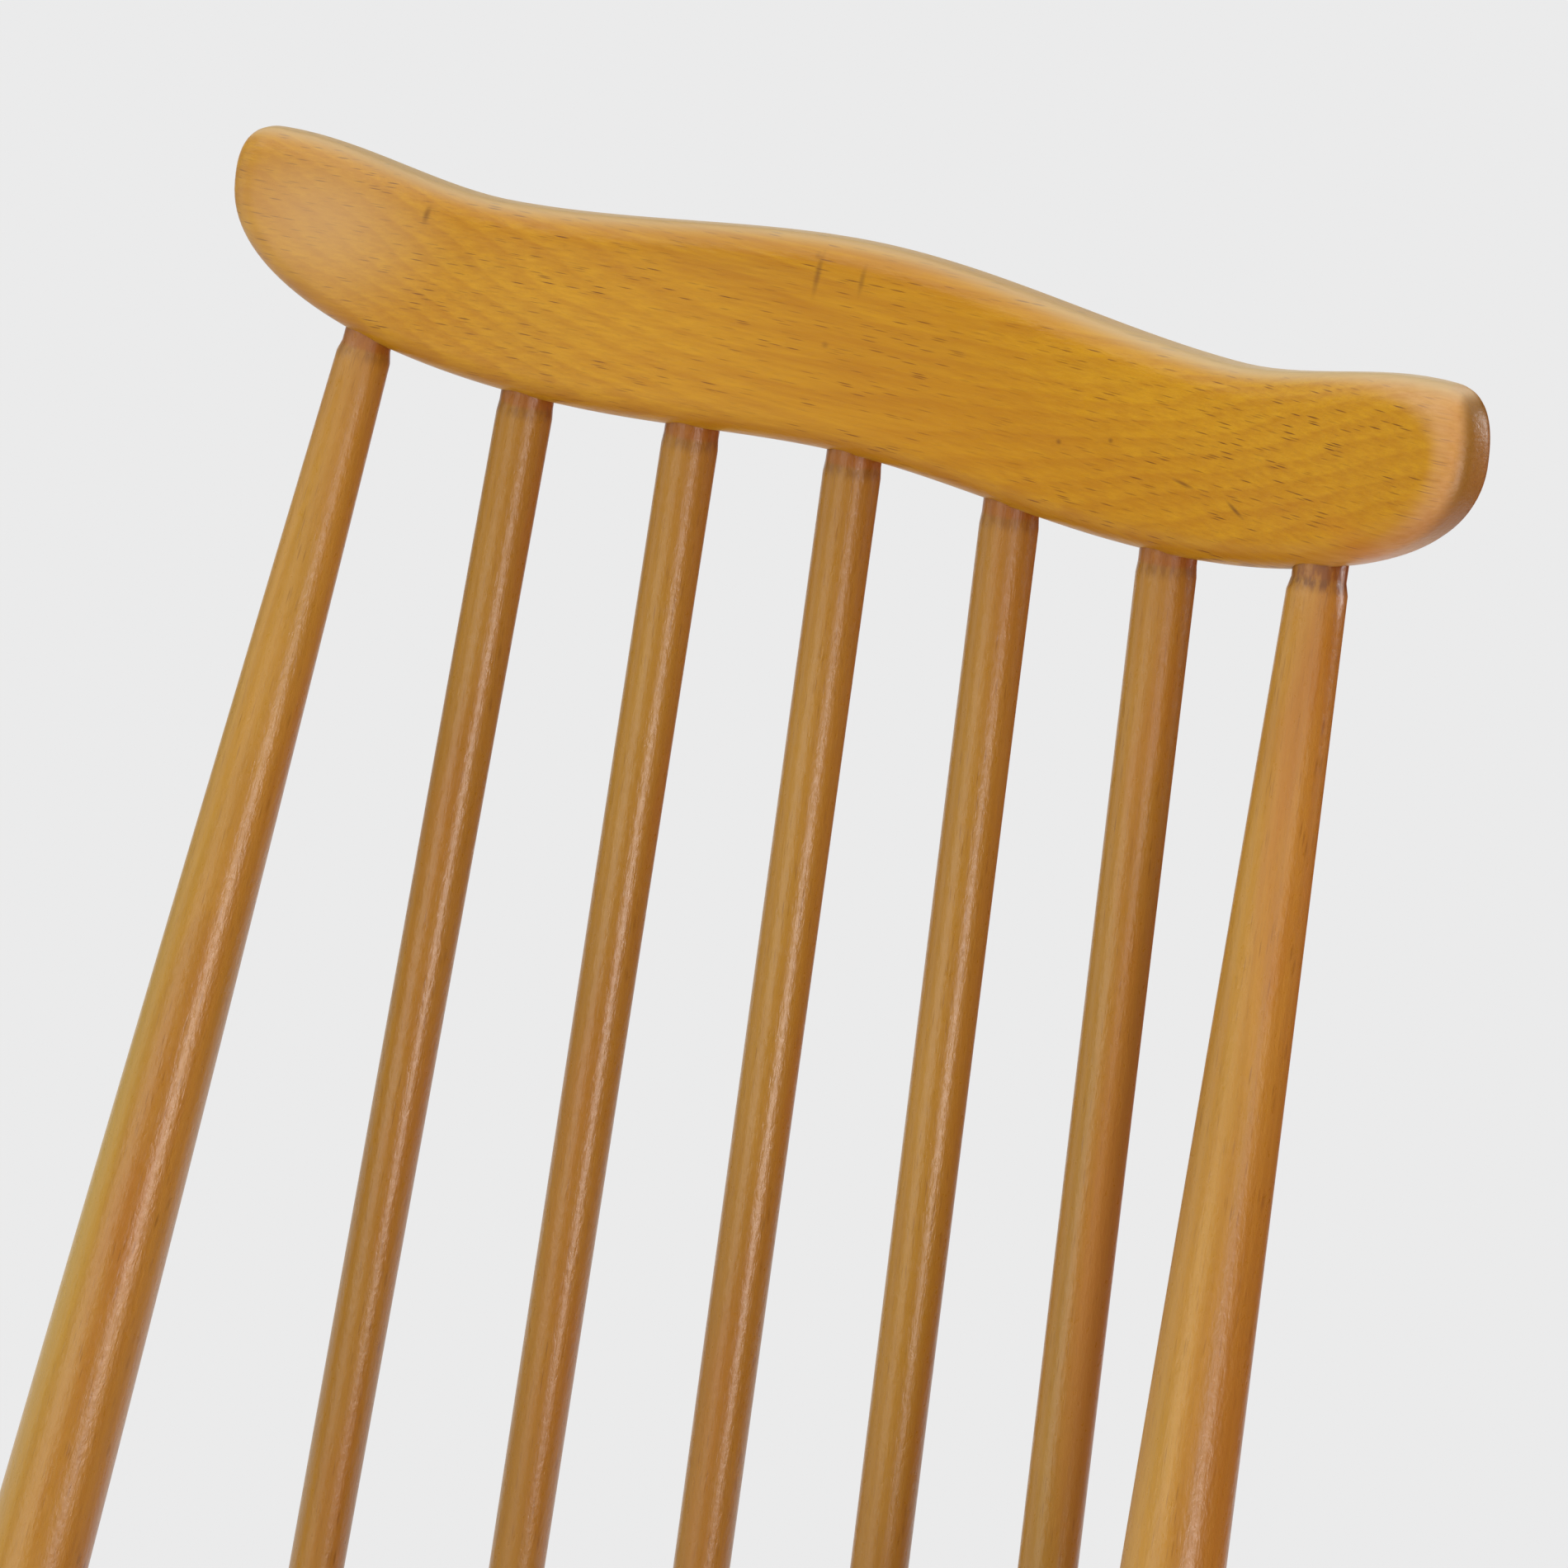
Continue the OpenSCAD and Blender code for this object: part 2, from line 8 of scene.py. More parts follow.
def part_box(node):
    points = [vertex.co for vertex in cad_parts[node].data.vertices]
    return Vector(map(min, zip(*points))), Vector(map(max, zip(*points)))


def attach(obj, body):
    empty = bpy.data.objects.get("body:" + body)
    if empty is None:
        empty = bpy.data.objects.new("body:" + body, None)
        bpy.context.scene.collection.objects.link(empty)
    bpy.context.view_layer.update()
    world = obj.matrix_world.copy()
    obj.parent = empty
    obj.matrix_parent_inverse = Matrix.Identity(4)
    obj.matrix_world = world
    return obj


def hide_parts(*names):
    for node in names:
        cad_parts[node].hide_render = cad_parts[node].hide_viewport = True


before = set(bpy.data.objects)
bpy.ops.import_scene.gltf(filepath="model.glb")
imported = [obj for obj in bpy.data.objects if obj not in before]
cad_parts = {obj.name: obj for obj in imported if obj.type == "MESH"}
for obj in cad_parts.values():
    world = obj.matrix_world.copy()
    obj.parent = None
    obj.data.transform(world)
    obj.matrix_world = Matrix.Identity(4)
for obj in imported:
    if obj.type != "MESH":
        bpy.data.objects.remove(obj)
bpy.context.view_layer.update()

# Seat: three boards of elm, butted and glued side by side, sawn to the outline and dished.
# The edge is rounded above and chamfered below. Holes are bored for the legs and the back,
# and the whole is lacquered honey brown.
seat_low, seat_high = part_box("seat_board_middle")
seat_half_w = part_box("seat_board_right")[1].x
seat_d = seat_high.y - seat_low.y
seat_h = seat_high.z
seat_t = seat_high.z - seat_low.z
seat_back_d = 0.178
seat_front_d = seat_d - seat_back_d
seat_wide_y = seat_high.y - seat_back_d
seat_front_square, seat_back_square = 4.5, 2.25
seat_round = 0.009
seat_chamfer_w, seat_chamfer_h = 0.013, 0.012
dish_depth = 0.012
dish_side_rim, dish_back_rim, dish_front_rim = 0.044, 0.037, 0.017
dish_square = 2.5
dish_level_r = 0.01
board_arris = 0.0004
seat_segments = 180
dish_rings, seat_round_rings = 16, 6
sharp_from = radians(35)


def reach(x, y, a, b, square):
    """Distance to (x, y) in units of the superellipse with half axes a and b."""
    return ((abs(x) / a) ** square + (abs(y) / b) ** square) ** (1 / square)


def seat_radius(angle):
    """Distance from the middle of the seat's widest line to its edge."""
    if sin(angle) > 0:
        return 1 / reach(cos(angle), sin(angle), seat_half_w, seat_back_d, seat_back_square)
    return 1 / reach(cos(angle), sin(angle), seat_half_w, seat_front_d, seat_front_square)


def seat_top_z(x, y):
    """Height of the seat's upper face, dished inside its rim."""
    if y > seat_wide_y:
        dish_d = seat_back_d - dish_back_rim
    else:
        dish_d = seat_front_d - dish_front_rim
    out = min(1, reach(x, y - seat_wide_y, seat_half_w - dish_side_rim, dish_d, dish_square))
    return seat_h - dish_depth * (1 - out ** 2) ** 2


def on_seat(share, inset=0.0, z=None):
    """Ring round the seat, at a share of the way out to its edge less an inset, and on its upper
    face where no height is given."""
    def place(vert):
        angle = atan2(vert.co.y - seat_wide_y, vert.co.x)
        r = share * seat_radius(angle) - inset
        x, y = r * cos(angle), seat_wide_y + r * sin(angle)
        return Vector((x, y, seat_top_z(x, y) if z is None else z))
    return place


def grow(mesh, rim, place):
    """Extrudes the rim by one ring, puts each new point in its place and returns the new rim."""
    made = bmesh.ops.extrude_edge_only(mesh, edges=rim)["geom"]
    for vert in (part for part in made if isinstance(part, bmesh.types.BMVert)):
        vert.co = place(vert)
    return [part for part in made if isinstance(part, bmesh.types.BMEdge)]


def rounding(steps):
    """Quarter round from a face to the side beside it: (share out, share down) of the radius."""
    for k in range(steps + 1):
        turn = pi / 2 * k / steps
        yield sin(turn), 1 - cos(turn)


def object_from(mesh, name):
    """Makes a mesh an object, smooth but for its sharp edges."""
    data = bpy.data.meshes.new(name)
    mesh.normal_update()
    mesh.to_mesh(data)
    mesh.free()
    data.shade_smooth()
    data.set_sharp_from_angle(angle=sharp_from)
    made = bpy.data.objects.new(name, data)
    bpy.context.scene.collection.objects.link(made)
    return made


seat_block = bmesh.new()
bmesh.ops.create_circle(
    seat_block, segments=seat_segments, radius=dish_level_r, cap_ends=True, cap_tris=True
)
bmesh.ops.translate(seat_block, verts=seat_block.verts, vec=(0, seat_wide_y, seat_h - dish_depth))
seat_rings = [on_seat((k + 1) / (dish_rings + 1)) for k in range(dish_rings)]
for out, down in rounding(seat_round_rings):
    seat_rings.append(on_seat(1, seat_round * (1 - out), seat_h - seat_round * down))
seat_rings.append(on_seat(1, 0, seat_h - seat_t + seat_chamfer_h))
seat_rings.append(on_seat(1, seat_chamfer_w, seat_h - seat_t))
rim = [edge for edge in seat_block.edges if edge.is_boundary]
for ring in seat_rings:
    rim = grow(seat_block, rim, ring)
bmesh.ops.holes_fill(seat_block, edges=rim)
bmesh.ops.recalc_face_normals(seat_block, faces=seat_block.faces)


def sawn(mesh, point, away):
    """Saws a mesh through a point, drops the side that away points to and closes the cut."""
    cut = bmesh.ops.bisect_plane(
        mesh, geom=mesh.verts[:] + mesh.edges[:] + mesh.faces[:],
        plane_co=point, plane_no=away, clear_outer=True,
    )["geom_cut"]
    edges = [part for part in cut if isinstance(part, bmesh.types.BMEdge)]
    bmesh.ops.holes_fill(mesh, edges=edges)
    return edges


board_sides = {
    "seat_board_left": (None, seat_low.x),
    "seat_board_middle": (seat_low.x, seat_high.x),
    "seat_board_right": (seat_high.x, None),
}
seat_boards = {}
for name, sides in board_sides.items():
    board = seat_block.copy()
    for x, away in zip(sides, (-1, 1)):
        if x is not None:
            edges = sawn(board, (x, 0, 0), (away, 0, 0))
            bmesh.ops.bevel(
                board, geom=edges, offset=board_arris, segments=1, affect="EDGES", profile=0.5, material=-1
            )
    seat_boards[name] = object_from(board, name.replace("board", "elm"))
seat_block.free()


class Reading:
    """A value over a surface, read from a socket of a shader node. Arithmetic on it adds Math nodes."""

    def __init__(self, tree, socket):
        self.tree, self.socket = tree, socket

    def node(self, kind, settings=(), inputs=(), output=0):
        """Adds a node of that kind, sets it, fills its inputs by name or number and reads an output."""
        made = self.tree.nodes.new("ShaderNode" + kind)
        for name, setting in dict(settings).items():
            setattr(made, name, setting)
        for name, value in dict(inputs).items():
            if isinstance(value, Reading):
                self.tree.links.new(value.socket, made.inputs[name])
            else:
                made.inputs[name].default_value = value
        return Reading(self.tree, made.outputs[output])

    def maths(self, operation, *others):
        return self.node("Math", {"operation": operation}, enumerate((self,) + others))

    def __add__(self, other):
        return self.maths("ADD", other)

    def __sub__(self, other):
        return self.maths("SUBTRACT", other)

    def __rsub__(self, other):
        return self.node("Math", {"operation": "SUBTRACT"}, {0: other, 1: self})

    def __mul__(self, other):
        return self.maths("MULTIPLY", other)

    def __truediv__(self, other):
        return self.maths("DIVIDE", other)

    __radd__ = __add__
    __rmul__ = __mul__

    def vector(self, operation, *others, output=0):
        return self.node("VectorMath", {"operation": operation}, enumerate((self,) + others), output)

    def length(self):
        return self.vector("LENGTH", output=1)

    def towards(self, way):
        """How far a direction points a given way, from -1 to 1."""
        return self.vector("DOT_PRODUCT", way, output=1)

    def part(self, axis):
        return self.node("SeparateXYZ", inputs={0: self}, output="XYZ".index(axis))

    def noise(self, across, deep, long, detail=2):
        """Noise whose spots measure so much across, deep and along the grain."""
        stretched = self.vector("MULTIPLY", (1 / across, 1 / deep, 1 / long))
        return self.node("TexNoise", inputs={"Vector": stretched, "Scale": 1, "Detail": detail})

    def step(self, start, end):
        """Rises from 0 at start to 1 at end, softly."""
        settings = {"interpolation_type": "SMOOTHSTEP"}
        return self.node("MapRange", settings, {"Value": self, "From Min": start, "From Max": end})

    def blend(self, under, over):
        """Mixes two colours, from under at 0 to over at 1."""
        return self.node("Mix", {"data_type": "RGBA"}, {0: self, 6: under, 7: over}, output=2)


def tone(red, green, blue):
    """A colour given as a screen shows it, from 0 to 255, taken off the screen's curve."""
    shown = [c / 255 for c in (red, green, blue)]
    return tuple(c / 12.92 if c <= 0.04045 else ((c + 0.055) / 1.055) ** 2.4 for c in shown) + (1,)


def new_finish(name, place, gloss, coat, coat_roughness):
    """A lacquered finish, with a reading of the place in the piece's own frame, in millimetres,
    and one of the way that the surface faces."""
    finish = bpy.data.materials.new(name)
    finish.use_nodes = True
    shader = finish.node_tree.nodes["Principled BSDF"]
    shader.inputs["Specular IOR Level"].default_value = gloss
    shader.inputs["Coat Weight"].default_value = coat
    shader.inputs["Coat Roughness"].default_value = coat_roughness
    coords = finish.node_tree.nodes.new("ShaderNodeTexCoord")
    surface = Reading(finish.node_tree, coords.outputs["Object"])
    outwards = Reading(finish.node_tree, coords.outputs["Normal"])
    own = surface.node("Mapping", {"vector_type": "TEXTURE"}, {
        "Vector": surface,
        "Location": place.translation,
        "Rotation": place.to_euler(),
        "Scale": (0.001, 0.001, 0.001),
    })
    return finish, shader, own, outwards


def cut_across(outwards, place):
    """How squarely a surface cuts the grain, which runs along Z in a piece's own frame."""
    grain = place.to_3x3() @ Vector((0, 0, 1))
    return outwards.towards(grain).maths("ABSOLUTE").step(0.8, 1)


def connect(reading, shader, name):
    reading.tree.links.new(reading.socket, shader.inputs[name])


def relief(height, depth, shader):
    """Raises a surface by a height from 0 to 1 times depth, in metres."""
    bump = height.node("Bump", inputs={"Height": height, "Distance": depth})
    connect(bump, shader, "Normal")


elm_brown, elm_honey = tone(134, 82, 30), tone(180, 122, 54)
elm_line_brown, elm_pore_brown, elm_end_brown = tone(104, 60, 20), tone(70, 38, 12), tone(96, 54, 18)
elm_ring_apart, elm_ring_sway = 7.5, 26
elm_heart_away, elm_heart_taper = 70, 0.09
elm_relief = 0.00008


def elm(name, place, seed):
    """Elm board: bold growth rings with a porous dark line, seen as long arches, and fine pores."""
    finish, shader, own, outwards = new_finish(name, place, gloss=0.4, coat=0.3, coat_roughness=0.2)
    spot = own.vector("ADD", (seed, 0, 7 * seed))
    sway = spot.noise(90, 60, 420, 1)
    from_heart = spot.vector("MULTIPLY", (1, 1, elm_heart_taper)).vector("ADD", (0, elm_heart_away, 0))
    ring = ((from_heart.length() + elm_ring_sway * sway) / elm_ring_apart).maths("FRACT")
    line = ring.step(0.55, 0.95) * (1 - ring.step(0.95, 1))
    pores = spot.noise(0.5, 0.5, 9, 2).step(0.56, 0.7)
    fibres = spot.noise(1.4, 1.4, 50, 3)
    colour = (0.75 * fibres + 0.3 * sway).step(0.2, 0.85).blend(elm_brown, elm_honey)
    colour = (0.5 * line).blend(colour, elm_line_brown)
    colour = (0.5 * pores * (0.25 + line)).blend(colour, elm_pore_brown)
    colour = (0.5 * cut_across(outwards, place)).blend(colour, elm_end_brown)
    connect(colour, shader, "Base Color")
    connect(0.24 + 0.16 * fibres, shader, "Roughness")
    relief(1 - 0.7 * pores * line - 0.3 * fibres, elm_relief, shader)
    return finish


# The grain of a board runs from front to back, so its own Z lies along Y
board_frame = Matrix.Rotation(radians(-90), 4, "X")
for k, (name, board) in enumerate(seat_boards.items()):
    board.data.materials.append(elm("elm_" + name.split("_")[-1], board_frame, seed=113.0 * (k + 1)))
    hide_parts(name)
    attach(board, "root")


# Legs: four, turned in beech, thickest below the middle. Each runs up through its hole in the
# seat, is split by a wedge there and trimmed level with the dished face.
LEFT, RIGHT = -1, 1
FRONT, BACK = -1, 1
front_legs_apart, back_legs_apart = 0.280, 0.210
front_leg_inset, back_leg_inset = 0.070, 0.092
front_splay, back_splay = radians(8), radians(9)
front_rake, back_leg_rake = radians(7), radians(16)
leg_foot_d, leg_swell_d, leg_tenon_d = 0.025, 0.036, 0.025
leg_swell_h = 0.190
leg_fullness = 1.8
tenon_show, tenon_proud = 0.0056, 0.0002
foot_arris = 0.0015
wedge_t, wedge_tip_t, wedge_run = 0.003, 0.0008, 0.024
glue_gap = 0.00005
# How far waste wood and the shapes of tools reach past a cut
past = 0.02
turned_segments, leg_steps = 64, 48


def leg_top(side, end):
    apart = front_legs_apart if end == FRONT else back_legs_apart
    y = seat_low.y + front_leg_inset if end == FRONT else seat_high.y - back_leg_inset
    return Vector((side * apart / 2, y, seat_h))


def leg_foot(side, end):
    splay, rake = (front_splay, front_rake) if end == FRONT else (back_splay, back_leg_rake)
    return leg_top(side, end) + seat_h * Vector((side * tan(splay), end * tan(rake), -1))


def along(a, b):
    """Places a piece on a, upright along the line to b, its X kept across the chair."""
    d = (b - a).normalized()
    sideways, backwards = atan2(d.x, d.z), -asin(d.y)
    return Matrix.Translation(a) @ Matrix.Rotation(sideways, 4, "Y") @ Matrix.Rotation(backwards, 4, "X")


def leg_radius(s, tall):
    """Radius of a leg at distance s up from its foot, where tall is the length of its taper."""
    thick = leg_swell_h / seat_h * tall
    off = (thick - s) / thick if s < thick else (s - thick) / (tall - thick)
    end_d = leg_foot_d if s < thick else leg_tenon_d
    return leg_swell_d / 2 - (leg_swell_d - end_d) / 2 * off ** leg_fullness


def turned(profile, place):
    """Turns a profile of (radius, height) points about its axis and puts the piece in its place."""
    mesh = bmesh.new()
    points = [(0, profile[0][1])] + list(profile) + [(0, profile[-1][1])]
    verts = [mesh.verts.new((r, 0, z)) for r, z in points]
    edges = [mesh.edges.new(pair) for pair in zip(verts, verts[1:])]
    bmesh.ops.spin(
        mesh, geom=verts + edges, cent=(0, 0, 0), axis=(0, 0, 1),
        angle=tau, steps=turned_segments, use_merge=True,
    )
    bmesh.ops.remove_doubles(mesh, verts=mesh.verts, dist=1e-6)
    bmesh.ops.recalc_face_normals(mesh, faces=mesh.faces)
    bmesh.ops.transform(mesh, matrix=place, verts=mesh.verts)
    return mesh


def drill(d, from_z, to_z, place):
    """A bit that bores a hole of diameter d between two heights on a piece's axis."""
    mesh = bmesh.new()
    bmesh.ops.create_cone(
        mesh, cap_ends=True, segments=turned_segments, radius1=d / 2, radius2=d / 2, depth=to_z - from_z
    )
    bmesh.ops.translate(mesh, verts=mesh.verts, vec=(0, 0, (from_z + to_z) / 2))
    bmesh.ops.transform(mesh, matrix=place, verts=mesh.verts)
    bmesh.ops.recalc_face_normals(mesh, faces=mesh.faces)
    return mesh


def kerf(tenon_d, place):
    """The saw cut that a wedge opens, down from the end of a tenon, its length across the chair."""
    spread = (wedge_t - wedge_tip_t) / wedge_run * past
    mesh = bmesh.new()
    bmesh.ops.create_cube(mesh, size=1)
    for vert in mesh.verts:
        above = vert.co.z > 0
        thick = wedge_t + spread if above else wedge_tip_t
        vert.co = Vector((vert.co.x * (tenon_d + past), vert.co.y * thick, past if above else -wedge_run))
    bmesh.ops.transform(mesh, matrix=place, verts=mesh.verts)
    bmesh.ops.recalc_face_normals(mesh, faces=mesh.faces)
    return mesh


def seat_upright(x, y):
    """Upright of the seat's upper face, from how it falls to either side of a point."""
    step = 0.0005
    fall_right = seat_top_z(x - step, y) - seat_top_z(x + step, y)
    fall_back = seat_top_z(x, y - step) - seat_top_z(x, y + step)
    return Vector((fall_right, fall_back, 2 * step)).normalized()


aged_olive, aged_orange = tone(170, 128, 34), tone(166, 98, 30)
ray_brown, fibre_brown, end_brown = tone(98, 50, 5), tone(120, 70, 12), tone(110, 62, 20)
below_collar_brown, collar_brown, nose_brown = tone(146, 90, 4), tone(94, 48, 6), tone(152, 86, 18)
ring_apart, ring_sway = 3.4, 14
ray_w, ray_deep, ray_long = 0.52, 2.5, 8
collar_long, below_collar_long, nose_long = 3, 70, 1.4
beech_relief = 0.0002


def from_oval(own, up, run, long, tall, turn):
    """How far a place on a piece lies from the middle of an oval, which is 1 at its edge."""
    return own.node("Mapping", {"vector_type": "TEXTURE"}, {
        "Vector": own,
        "Location": (-up, 0, run),
        "Rotation": (0, turn, 0),
        "Scale": (tall, 1000, long),
    }).length()


def beech(
    name, place, seed, deep, pale, lean=0.0, bands=0.1, figure=0.16, satin=0.2, flecks=0.4, gloss=0.6,
    aged=0.3, worn=None, painted_by_facing=(), painted_rims=(), marks=(),
):
    """Lacquered beech, its rings one behind the other along the piece's Y: faint bands, fine
    streaks and short dark rays along the grain, places that aged to olive or to orange, and ends
    that drank the stain.

    The rims and the marks are ovals of colour, in millimetres in the piece's own frame, as (middle
    towards -X, middle along Z, reach along Z, reach along X, turn, share, colour). A mark fills its
    oval, and a rim what lies beyond it towards the piece's end. Many are spots and stains of the
    wood's own; others are painted light: the comb's rim is a painted highlight, one comb mark a
    painted sheen and one a painted dark reflection, the marks on the posts paint a lit and a shaded
    side, and the one on a stick a highlight. The list by facing paints light and shade on surfaces
    that face a given way, as (way they face, how squarely, reach, share, colour). worn gives the
    height of a chafed collar, its share and the share of the stained nose above it."""
    finish, shader, own, outwards = new_finish(name, place, gloss, coat=0.1, coat_roughness=0.25)
    spot = own.vector("ADD", (0, 0, seed))
    drift = spot.noise(40, 40, 170, 2)
    ring = ((spot.part("Y") + lean * spot.part("X") + ring_sway * drift) / ring_apart).maths("FRACT")
    ring = ring.step(0.15, 0.85) * (1 - ring.step(0.85, 1))
    streaks = spot.noise(0.9, 0.9, 26, 3)
    fibres = spot.noise(0.3, 0.3, 8, 2)
    paleness = 0.75 * drift + figure * (streaks - 0.5) + 0.25 * fibres - bands * ring
    colour = paleness.step(0, 1).blend(deep, pale)
    # Read far off, so that the aged places don't follow the drift
    mellow = spot.vector("ADD", (300, 0, 0)).noise(16, 16, 110, 3)
    colour = (aged * mellow.step(0.5, 0.72)).blend(colour, aged_olive)
    colour = (aged * (1 - mellow).step(0.5, 0.72)).blend(colour, aged_orange)
    cells = spot.vector("MULTIPLY", (1 / ray_w, 1 / ray_deep, 1 / ray_long))
    chance = cells.node("TexVoronoi", inputs={"Vector": cells, "Scale": 1}, output=1).part("X")
    from_ray = cells.node("TexVoronoi", inputs={"Vector": cells, "Scale": 1})
    crowd = spot.noise(9, 9, 30, 1).step(0.3, 0.7)
    rays = (1 - from_ray.step(0.15, 0.4)) * chance.step(0.42, 0.9) * (0.3 + 0.7 * crowd)
    colour = (flecks * rays).blend(colour, ray_brown)
    colour = (0.2 * fibres.step(0.5, 0.75)).blend(colour, fibre_brown)
    colour = (0.55 * cut_across(outwards, place)).blend(colour, end_brown)
    # Painted highlight: a tint beyond an oval, towards the piece's end
    for up, run, long, tall, turn, share, tint in painted_rims:
        beyond = from_oval(own, up, run, long, tall, turn).step(0.88, 1.1)
        endwards = own.part("Z").step(run - 0.5 * long, run + 0.5 * long)
        colour = (share * beyond * endwards * (0.4 + 1.1 * streaks)).blend(colour, tint)
    # Ovals of colour: stains and dark spots, and painted sheen, highlight, dark reflection and shade
    for up, run, long, tall, turn, share, tint in marks:
        inside = 1 - from_oval(own, up, run, long, tall, turn).step(0, 1)
        colour = (share * inside).blend(colour, tint)
    # Painted light and shade: surfaces facing a given way are tinted paler or darker
    for way, squarely, reached, share, tint in painted_by_facing:
        facing_share = 1 - (outwards.towards(way) - squarely).maths("ABSOLUTE") / reached
        colour = (share * facing_share.step(0, 1) * (0.5 + drift)).blend(colour, tint)
    if worn is not None:
        height, share, nose_share = worn
        strokes = spot.noise(1.5, 1.5, 4, 3).step(0.36, 0.6)
        chafed = own.part("Z").step(height - 0.5 - collar_long, height - 0.5)
        nearing = own.part("Z").step(height - below_collar_long, height)
        nose_stain = own.part("Z").step(height, height + nose_long)
        colour = (0.3 * nearing).blend(colour, below_collar_brown)
        colour = (share * chafed * (0.35 + 0.65 * strokes)).blend(colour, collar_brown)
        colour = (nose_share * nose_stain).blend(colour, nose_brown)
    connect(colour, shader, "Base Color")
    uneven = spot.noise(1.1, 1.1, 2.6, 3)
    connect(satin + 0.22 * uneven, shader, "Roughness")
    relief(0.8 * uneven + 0.2 * fibres, beech_relief, shader)
    return finish


leg_deep, leg_pale = tone(152, 96, 24), tone(190, 138, 54)
leg_pieces = {}
leg_kerfs = {}
seat_bits = []
for side, side_name in ((LEFT, "left"), (RIGHT, "right")):
    for end, end_name in ((FRONT, "front"), (BACK, "back")):
        foot, top = leg_foot(side, end), leg_top(side, end)
        place = along(foot, top)
        tall = (top - foot).length
        tenon_from = tall * (seat_h - seat_t - tenon_show) / seat_h
        profile = [(leg_foot_d / 2, -past)]
        for k in range(leg_steps + 1):
            s = tenon_from * k / leg_steps
            profile.append((leg_radius(s, tenon_from), s))
        profile.append((leg_tenon_d / 2, tall + past))
        mesh = turned(profile, place)
        edges = sawn(mesh, (0, 0, 0), (0, 0, -1))
        bmesh.ops.bevel(
            mesh, geom=edges, offset=foot_arris, segments=2, affect="EDGES", profile=0.5, material=-1
        )
        upright = seat_upright(top.x, top.y)
        level = Vector((top.x, top.y, seat_top_z(top.x, top.y))) + tenon_proud * upright
        sawn(mesh, level, upright)
        name = f"leg_{end_name}_{side_name}"
        leg = object_from(mesh, "beech_" + name)
        seed = 37.0 * len(leg_pieces)
        leg.data.materials.append(beech(leg.name, place, seed, leg_deep, leg_pale, lean=0.4))
        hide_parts(name)
        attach(leg, "root")
        leg_pieces[side, end] = leg
        leg_kerfs[side, end] = kerf(leg_tenon_d, place @ Matrix.Translation((0, 0, tall)))
        seat_bits.append(drill(leg_tenon_d + 2 * glue_gap, -past, seat_t + past, along(top, foot)))

# Leg wedges: a slip of darker beech in the upper end of each leg, driven in across the chair
# and trimmed with the tenon. Their shapes are the frame's own.
wedge_dark, wedge_pale = tone(92, 54, 24), tone(140, 90, 46)


def end_grain(name, seed):
    """A wedge's end: short dark fibres seen end on, under the lacquer."""
    finish, shader, spot, _ = new_finish(name, Matrix(), gloss=0.3, coat=0.2, coat_roughness=0.25)
    speckle = spot.vector("ADD", (seed, 0, 0)).noise(0.4, 0.4, 0.4, 3)
    connect(speckle.step(0.3, 0.7).blend(wedge_dark, wedge_pale), shader, "Base Color")
    return finish


for k, corner in enumerate(("front_left", "front_right", "back_left", "back_right")):
    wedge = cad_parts["leg_wedge_" + corner]
    wedge.data.materials.clear()
    wedge.data.materials.append(end_grain("wedge_" + corner, seed=5.0 * k))

# Side stretchers: two turned bars of beech that swell towards the middle. Each is glued into
# blind sockets in a front and a back leg.
stretcher_h = 0.165
side_swell_d, side_end_d, side_socket = 0.024, 0.015, 0.020
socket_air = 0.001
nose_run = 0.003
stretcher_steps = 48


def leg_at(side, end, z):
    return leg_foot(side, end).lerp(leg_top(side, end), z / seat_h)


def side_end(side, end):
    """End of a side stretcher's centre line, inside its leg."""
    a, b = leg_at(side, end, stretcher_h), leg_at(side, -end, stretcher_h)
    foot, top = leg_foot(side, end), leg_top(side, end)
    thickness = leg_radius((a - foot).length, (top - foot).length)
    return a + (b - a).normalized() * (thickness - side_socket)


def stretcher(a, b, end_d, swell_d, socket):
    """Bar turned between two socket ends, straight in its sockets and swelling between them."""
    long = (b - a).length
    straight = socket + nose_run
    profile = [(end_d / 2, 0)]
    for k in range(stretcher_steps + 1):
        share = k / stretcher_steps
        d = end_d + (swell_d - end_d) * sin(pi * share)
        profile.append((d / 2, straight + (long - 2 * straight) * share))
    profile.append((end_d / 2, long))
    return turned(profile, along(a, b))


def cut(piece, tools):
    """Takes the shapes of the tools out of a piece's mesh."""
    cutter_mesh = bmesh.new()
    for tool in tools:
        spare = bpy.data.meshes.new("tool")
        tool.to_mesh(spare)
        tool.free()
        cutter_mesh.from_mesh(spare)
        bpy.data.meshes.remove(spare)
    cutter = object_from(cutter_mesh, "cutter")
    boring = piece.modifiers.new("boring", "BOOLEAN")
    boring.operation = "DIFFERENCE"
    boring.solver = "EXACT"
    boring.object = cutter
    shaped = bpy.data.meshes.new_from_object(piece.evaluated_get(bpy.context.evaluated_depsgraph_get()))
    piece.modifiers.clear()
    old = piece.data
    piece.data = shaped
    shaped.name = piece.name
    bpy.data.meshes.remove(old)
    bpy.data.objects.remove(cutter)
    shaped.shade_smooth()
    shaped.set_sharp_from_angle(angle=sharp_from)


